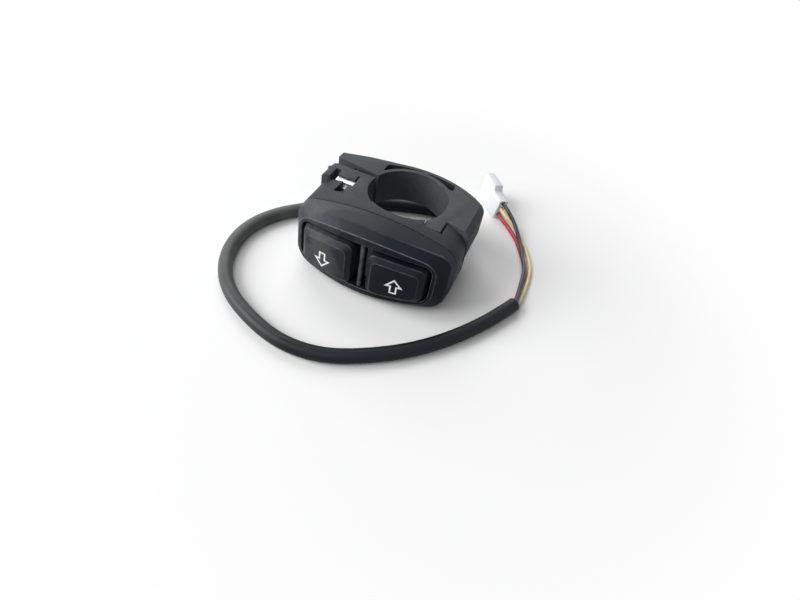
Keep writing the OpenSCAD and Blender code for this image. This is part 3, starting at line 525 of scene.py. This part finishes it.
def soften(rings, widths, closed=False):
    """Rounds the corner at each ring by its width, along the run of the rings."""
    out = []
    n = len(rings)
    for i, r in enumerate(rings):
        w = widths[i]
        if w <= 0 or (not closed and i in (0, n - 1)):
            out.append(r)
            continue
        before, after = rings[(i - 1) % n], rings[(i + 1) % n]
        group = [[] for _ in range(SOFT_STEPS + 1)]
        for p, a, b in zip(r, before, after):
            da, db = a - p, b - p
            la, lb = min(w, da.length * SOFT_SHARE), min(w, db.length * SOFT_SHARE)
            qa = p + da.normalized() * la
            qb = p + db.normalized() * lb
            for k in range(SOFT_STEPS + 1):
                t = k / SOFT_STEPS
                group[k].append((1 - t) ** 2 * qa + 2 * t * (1 - t) * p + t * t * qb)
        out.extend(group)
    return out


def skin(rings, closed=False, cap_first=False, tip=None):
    """Points and faces of a surface that runs through the rings."""
    n = len(rings[0])
    verts = [tuple(p) for r in rings for p in r]
    faces = []
    count = len(rings)
    for i in range(count if closed else count - 1):
        a, b = i * n, ((i + 1) % count) * n
        for j in range(n):
            k = (j + 1) % n
            faces.append((a + j, a + k, b + k, b + j))
    if cap_first:
        faces.append(tuple(range(n)))
    if tip is not None:
        verts.append(tuple(tip))
        last = (count - 1) * n
        for j in range(n):
            faces.append((last + j, last + (j + 1) % n, len(verts) - 1))
    return verts, faces


# Front bezel with softened edges, from outlines at its creases. Sizes are half widths and half heights
PART_X, PART_Z, PART_Y = -2.2, -4.15, -14.1
PART_W, PART_H, PART_CORNER = 22.35, 10.55, 3.5
CREASE_X, CREASE_Z, CREASE_Y = -1.9, -3.575, -21.7
WINDOW_Z, RIM_Z, RIM_Y = -3.975, -3.725, -23.9
WINDOW_OUTLINE = arched(18.45, 7.325, 2.6, 120, 120)
SEAM_GAP, SEAM_DEPTH = 0.28, 0.9


def part_ring(inset, corner, y):
    """The outline at the joint between bezel and housing."""
    return ring(arched(PART_W - inset, PART_H - inset, corner, 73, 115), PART_X, PART_Z, y)


# Each ring with the width of its rounding
BEZEL = [
    (part_ring(SEAM_DEPTH, 2.6, PART_Y), 0.0),
    (part_ring(SEAM_DEPTH, 2.6, PART_Y - SEAM_GAP), 0.0),
    (part_ring(0, PART_CORNER, PART_Y - SEAM_GAP), 0.12),
    (ring(arched(21.55, 11.125, 3.2, 70, 115), CREASE_X, CREASE_Z, CREASE_Y, BOW), 0.55),
    (ring(arched(19.5, 9.225, 3.6, 64, 75), WINDOW_X, RIM_Z, RIM_Y, BOW), 0.20),
    (ring(WINDOW_OUTLINE, WINDOW_X, WINDOW_Z, RIM_Y, BOW), 0.16),
    (ring(WINDOW_OUTLINE, WINDOW_X, WINDOW_Z, RIM_Y + 1.8, BOW), 0.0),
    (ring(arched(19.65, 9.225, 1.8, 70, 115), CREASE_X, CREASE_Z, RIM_Y + 2.0, BOW), 0.0),
    (ring(arched(20.45, 8.65, 1.8, 73, 115), PART_X, PART_Z, PART_Y), 0.0)]
verts, faces = skin(soften(*zip(*BEZEL), closed=True), closed=True)


def add_part(verts, faces, more_verts, more_faces):
    """Adds a second surface to the points and faces of a first one."""
    base = len(verts)
    verts.extend(more_verts)
    faces.extend(tuple(i + base for i in f) for f in more_faces)


# Rib between the buttons, with a round nose: one outline per height, rounded back at its upper end
RIB_R, RIB_NOSE_Y, RIB_BACK_Y = 0.6, RIM_Y + 0.4, -21.1
RIB_LOW, RIB_HEIGHT, RIB_STEPS = -11.6, 15.1, 30
RIB_TOP, RIB_ROUND = 3.5, 1.2


def rib_ring(z):
    over = max(0.0, z - (RIB_TOP - RIB_ROUND))
    nose_y = RIB_NOSE_Y + RIB_ROUND - math.sqrt(max(0.0, RIB_ROUND ** 2 - over ** 2))
    nose = arc(WINDOW_X, nose_y + RIB_R, RIB_R, 0, -180, 12)
    outline = [(WINDOW_X + RIB_R, RIB_BACK_Y), *nose, (WINDOW_X - RIB_R, RIB_BACK_Y)]
    return [Vector((x, y, z)) for x, y in outline]


rib = [rib_ring(RIB_LOW + RIB_HEIGHT * i / RIB_STEPS) for i in range(RIB_STEPS + 1)]
add_part(verts, faces, *skin(rib, cap_first=True))
bezel = mesh_object("bezel_moulding", verts, faces, MAT["case"], 40)
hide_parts("front_bezel")
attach(bezel, "case")

# Painted shade: a near-black strip set into the joint between bezel and housing, which shows as a dark line
# where the narrow groove is in shade
FRONT_Y, REAR_Y = PART_Y - SEAM_GAP + 0.01, PART_Y - 0.01
OUTER_INSET, INNER_INSET = 0.06, 0.85
seam_shade_rings = [part_ring(OUTER_INSET, PART_CORNER, FRONT_Y), part_ring(OUTER_INSET, PART_CORNER, REAR_Y),
                part_ring(INNER_INSET, PART_CORNER, REAR_Y), part_ring(INNER_INSET, PART_CORNER, FRONT_Y)]
verts, faces = skin(seam_shade_rings, closed=True)
seam_shade = mesh_object("seam_shade_strip", verts, faces, MAT["seam_shade"], 40)
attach(seam_shade, "case")


# Buttons
BUTTON_X, BUTTON_Z = 9.75, -4.25
FOOT_W, FOOT_H, FOOT_CORNER = 7.35, 6.35, 1.6
FOOT_ARCH, FOOT_STEPS = 120, (8, 14, 12)
FACE_Y, BEVEL = RIM_Y - 1.9, 1.2
SKIRT_Y, SKIRT_FLARE = -19.9, 0.6
CAP_SCALES = (0.6, 0.4, 0.2)


def bowed(dx, y):
    """The depth of a place on the front, dx to the side of its middle."""
    return y + BOW * dx * dx / 2


def button_ring(side, inset, y, scale=1.0, flat=False):
    pts = rounded_rect((FOOT_W - inset) * scale, (FOOT_H - inset) * scale, FOOT_CORNER * scale, *FOOT_STEPS)
    out = []
    for p in pts:
        dx = side * BUTTON_X + p[0]
        z = BUTTON_Z + p[1] - drop(dx, p[1], FOOT_H - FOOT_CORNER, FOOT_ARCH, FOOT_ARCH)
        out.append(Vector((WINDOW_X + dx, y if flat else bowed(dx, y), z)))
    return out


def make_button(side, name, node, body):
    """A button cap from the flared skirt to its bowed face. The side is -1 on the left and 1 on the right."""
    rings = [
        button_ring(side, -SKIRT_FLARE, SKIRT_Y, flat=True),
        button_ring(side, 0, FACE_Y + BEVEL),
        button_ring(side, BEVEL, FACE_Y),
        button_ring(side, BEVEL, FACE_Y, 0.82)]
    rings = soften(rings, [0, 0.20, 0.26, 0])
    rings += [button_ring(side, BEVEL, FACE_Y, scale) for scale in CAP_SCALES]
    dx = side * BUTTON_X
    verts, faces = skin(rings, cap_first=True, tip=(WINDOW_X + dx, bowed(dx, FACE_Y), BUTTON_Z))
    obj = mesh_object(name, verts, faces, MAT["button"], 50)
    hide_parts(node)
    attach(obj, body)


make_button(-1, "button_cap_down", "down_button", "button_down")
make_button(1, "button_cap_up", "up_button", "button_up")


# Printed arrows on the faces, drawn as an outline
HALF_HEAD, HALF_SHAFT, HEAD_H, ARROW_H = 2.45, 1.0, 2.75, 4.9
LINE_W, LINE_STEPS, LIFT = 0.45, 8, 0.015
JOINED, SHARPEST = 1e-6, 0.25


def inset_line(pts, width):
    """The outline moved inwards by a width, with its corners kept sharp."""
    n = len(pts)
    out = []
    for i in range(n):
        p0, p1, p2 = Vector(pts[i - 1]), Vector(pts[i]), Vector(pts[(i + 1) % n])
        e0, e1 = (p1 - p0).normalized(), (p2 - p1).normalized()
        n0, n1 = Vector((-e0[1], e0[0])), Vector((-e1[1], e1[0]))
        both = n0 + n1
        out.append(p1 + both * (width / max(SHARPEST, both.dot(n0))))
    return out


def arrow_outline(sign):
    top = ARROW_H / 2
    neck = top - HEAD_H
    pts = [(0, top), (-HALF_HEAD, neck), (-HALF_SHAFT, neck), (-HALF_SHAFT, -top), (HALF_SHAFT, -top),
           (HALF_SHAFT, neck), (HALF_HEAD, neck)]
    pts = [(x, z * sign) for x, z in pts]
    return pts if sign > 0 else pts[::-1]


def arrow(name, cx, cz, sign, body):
    outer = [Vector(p) for p in arrow_outline(sign)]
    inner = inset_line(outer, LINE_W)
    verts, faces = [], []
    for i in range(len(outer)):
        j = (i + 1) % len(outer)
        base = len(verts)
        for k in range(LINE_STEPS + 1):
            for line in (outer, inner):
                q = line[i].lerp(line[j], k / LINE_STEPS)
                x, z = cx + q[0], cz + q[1]
                verts.append((x, bowed(x - WINDOW_X, FACE_Y) - LIFT, z))
        faces += [(a, a + 2, a + 3, a + 1) for a in range(base, base + 2 * LINE_STEPS, 2)]
    obj = mesh_object(name, verts, faces, MAT["arrow"], 60)
    bm = bmesh.new()
    bm.from_mesh(obj.data)
    bmesh.ops.remove_doubles(bm, verts=bm.verts, dist=JOINED)
    bm.to_mesh(obj.data)
    bm.free()
    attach(obj, body)


arrow("arrow_down_print", -12.6, -5.5, -1, "button_down")
arrow("arrow_up_print", 7.7, -5.0, 1, "button_up")


# Softened copies of the solids that are seen
BORE_R, SPLIT_Y, SLOT_CLOSE, SLOT_NEAR = 11.2, 4.4, 0.8, 0.15
POCKET_Z, TOP_Z = -2.0, 5.0
POCKET_ROUND, WALL_SHARE, POCKET_TURN = 0.8, 0.9, 35
UPRIGHT = 1e-6
EDGE_STEPS, EDGE_ANGLE = 3, 28
SAME_POINT, FLAT_ANGLE = 2e-6, 0.6


def near(a, b, gap=0.03):
    """True where a, in metres, is within a gap of b, both in millimetres."""
    return abs(a - b * MM) < gap * MM


def pocket_corner(e):
    """True for an upright edge of a pocket whose two walls meet at a clear angle."""
    a, b = sorted((v.co for v in e.verts), key=lambda c: c.z)
    upright = abs(a.x - b.x) < UPRIGHT and abs(a.y - b.y) < UPRIGHT
    return (upright and near(a.z, POCKET_Z) and near(b.z, TOP_Z) and len(e.link_faces) == 2
            and e.calc_face_angle(0.0) > math.radians(POCKET_TURN))


def close_slot(bm):
    """Closes the inner end of the jaw's split a little, along the bore."""
    edge_x = -math.sqrt(BORE_R ** 2 - SPLIT_Y ** 2)
    closed_y = SPLIT_Y - SLOT_CLOSE
    for v in bm.verts:
        if near(v.co.x, edge_x, SLOT_NEAR) and near(v.co.y, SPLIT_Y, SLOT_NEAR):
            v.co.y = closed_y * MM
            v.co.x = -math.sqrt(BORE_R ** 2 - closed_y ** 2) * MM


def round_pockets(bm):
    """Rounds the upright corners of the jaw's cored pockets, one corner at a time."""
    corners = [e.verts[0].co.xy.to_tuple() for e in bm.edges if pocket_corner(e)]
    for corner in corners:
        sharp = [e for e in bm.edges
                 if pocket_corner(e) and math.dist(e.verts[0].co.xy, corner) < UPRIGHT]
        if sharp:
            wall = min(f.calc_area() for f in sharp[0].link_faces) / (TOP_Z - POCKET_Z) / MM
            bmesh.ops.bevel(bm, geom=sharp, offset=min(POCKET_ROUND * MM, WALL_SHARE * wall), segments=5,
                            profile=0.5, affect="EDGES", clamp_overlap=False)
    bm.normal_update()


def jaw_details(bm):
    """Shapes the jaw's split and pockets, and gives the inside of the pockets the second material, a darker
    copy of the clamp plastic as painted shade.
    """
    close_slot(bm)
    round_pockets(bm)
    for f in bm.faces:
        if f.normal.z > 0.99 and near(f.calc_center_median().z, POCKET_Z):
            for e in f.edges:
                for inside in e.link_faces:
                    inside.material_index = 1


def cleaned(node, name, mats, details):
    """A copy of a solid's mesh in the part's frame, without doubled points and needless edges."""
    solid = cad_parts[node]
    me = solid.data.copy()
    me.name = name
    me.materials.clear()
    for mat in mats:
        me.materials.append(mat)
    bm = bmesh.new()
    bm.from_mesh(me)
    bm.transform(solid.matrix_world)
    bmesh.ops.remove_doubles(bm, verts=bm.verts, dist=SAME_POINT)
    bmesh.ops.dissolve_degenerate(bm, edges=bm.edges, dist=SAME_POINT)
    bmesh.ops.dissolve_limit(bm, angle_limit=math.radians(FLAT_ANGLE), verts=bm.verts, edges=bm.edges,
                             delimit={"NORMAL"})
    for f in bm.faces:
        f.material_index = 0
    if details:
        details(bm)
    bm.to_mesh(me)
    bm.free()
    return link(name, me)


def round_edges(obj, width):
    """Bakes a bevel of a width in millimetres into the mesh."""
    mod = obj.modifiers.new("soft_edges", "BEVEL")
    mod.width = width * MM
    mod.segments = EDGE_STEPS
    mod.limit_method = "ANGLE"
    mod.angle_limit = math.radians(EDGE_ANGLE)
    mod.use_clamp_overlap = True
    mod.miter_outer = "MITER_ARC"
    depsgraph = bpy.context.evaluated_depsgraph_get()
    baked = bpy.data.meshes.new_from_object(obj.evaluated_get(depsgraph))
    obj.modifiers.clear()
    obj.data = baked
    baked.name = obj.name


def softened(node, name, body, mats, width, details=None):
    """A copy of a solid with rounded edges, and corners painted paler as a highlight and scuffed smoother, in
    place of its node.
    """
    obj = cleaned(node, name, mats, details)
    round_edges(obj, width)
    smooth_shade(obj, 32)
    mark_edges(obj)
    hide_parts(node)
    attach(obj, body)
    return obj


softened("housing", "housing_moulding", "case", [MAT["shell"]], 0.22)
softened("clamp_block", "block_moulding", "case", [MAT["clamp"]], 0.22)
# The jaw's second material paints shade inside its pockets
softened("rear_clamp", "jaw_moulding", "jaw", [MAT["clamp"], MAT["pocket"]], 0.25,
         jaw_details)
plug_piece = softened("plug_housing", "plug_moulding", "case", [MAT["plug"]], 0.18)

# Floor of white paper, in metres
FLOOR_REACH, FLOOR_SIDES = 0.26, 96
FLOOR_Y, FLOOR_SINK = -0.01, 0.00005
PAPER_NEAR, PAPER_FAR = 0.060, 0.125
PAPER_WHITE = 0.80
outline = [(FLOOR_REACH * math.cos(2 * math.pi * i / FLOOR_SIDES),
            FLOOR_REACH * math.sin(2 * math.pi * i / FLOOR_SIDES), 0) for i in range(FLOOR_SIDES)]
floor_mesh = bpy.data.meshes.new("floor")
floor_mesh.from_pydata(outline, [], [tuple(range(FLOOR_SIDES))])
floor = link("floor", floor_mesh)
floor.location = (0, FLOOR_Y, FLOOR_Z * MM - FLOOR_SINK)


def mixed(nt, share, first, second):
    node = nt.nodes.new("ShaderNodeMixShader")
    nt.links.new(share, node.inputs["Fac"])
    nt.links.new(first, node.inputs[1])
    nt.links.new(second, node.inputs[2])
    return node.outputs[0]


def distance_fade(nt):
    """0 close to the middle of the floor, and 1 further out."""
    away = nt.nodes.new("ShaderNodeVectorMath")
    away.operation = "LENGTH"
    nt.links.new(coords_of(nt), away.inputs[0])
    fade = nt.nodes.new("ShaderNodeMapRange")
    fade.interpolation_type = "SMOOTHSTEP"
    fade.inputs["From Min"].default_value = PAPER_NEAR
    fade.inputs["From Max"].default_value = PAPER_FAR
    nt.links.new(away.outputs["Value"], fade.inputs["Value"])
    return fade.outputs["Result"]


def floor_material():
    """Lit near the part, so that it keeps the shadow, and plain white for the camera further out."""
    mat, nt, shader = new_material("floor_white")
    shader.inputs["Base Color"].default_value = (PAPER_WHITE, PAPER_WHITE, PAPER_WHITE, 1)
    shader.inputs["Roughness"].default_value = 0.75
    shader.inputs["Specular IOR Level"].default_value = 0.1
    lit = nt.nodes.new("ShaderNodeBsdfDiffuse")
    lit.inputs["Color"].default_value = (1, 1, 1, 1)
    white = nt.nodes.new("ShaderNodeEmission")
    white.inputs["Strength"].default_value = 1.0
    paper = mixed(nt, distance_fade(nt), lit.outputs[0], white.outputs[0])
    path = nt.nodes.new("ShaderNodeLightPath")
    view = mixed(nt, path.outputs["Is Camera Ray"], shader.outputs["BSDF"], paper)
    nt.links.new(view, nt.nodes["Material Output"].inputs["Surface"])
    return mat


give(floor, floor_material())

# World: white where the camera, a reflection or a clear material looks at it, and a dim light otherwise
DIM_LIGHT, DIM_COLOR = 0.08, (0.95, 0.97, 1.0)
world = bpy.data.worlds.new("world")
scene.world = world
world.use_nodes = True
sky = world.node_tree
sky.nodes.clear()


def background(color, strength):
    node = sky.nodes.new("ShaderNodeBackground")
    node.inputs["Color"].default_value = (*color, 1)
    node.inputs["Strength"].default_value = strength
    return node.outputs[0]


rays = sky.nodes.new("ShaderNodeLightPath")
shown = rays.outputs["Is Camera Ray"]
for kind in ("Is Glossy Ray", "Is Transmission Ray"):
    either = sky.nodes.new("ShaderNodeMath")
    either.operation = "MAXIMUM"
    sky.links.new(shown, either.inputs[0])
    sky.links.new(rays.outputs[kind], either.inputs[1])
    shown = either.outputs[0]
sky_out = sky.nodes.new("ShaderNodeOutputWorld")
sky.links.new(mixed(sky, shown, background(DIM_COLOR, DIM_LIGHT), background((1, 1, 1), 1.0)),
              sky_out.inputs["Surface"])


# Lights
def area_light(name, location, size, power):
    """A square light in watts, with its place and side in metres, turned to the part."""
    data = bpy.data.lights.new(name, "AREA")
    data.energy = power
    data.size = size
    light = link(name, data)
    light.location = location
    aim = Vector((0, 0, 0)) - Vector(location)
    light.rotation_euler = aim.to_track_quat("-Z", "Y").to_euler()


area_light("window_left", (-1.65, -0.86, 1.16), 1.6, 49)
area_light("window_back", (-0.85, 1.20, 1.34), 1.5, 17)
area_light("window_front", (0.0, -1.25, 1.60), 1.6, 11)
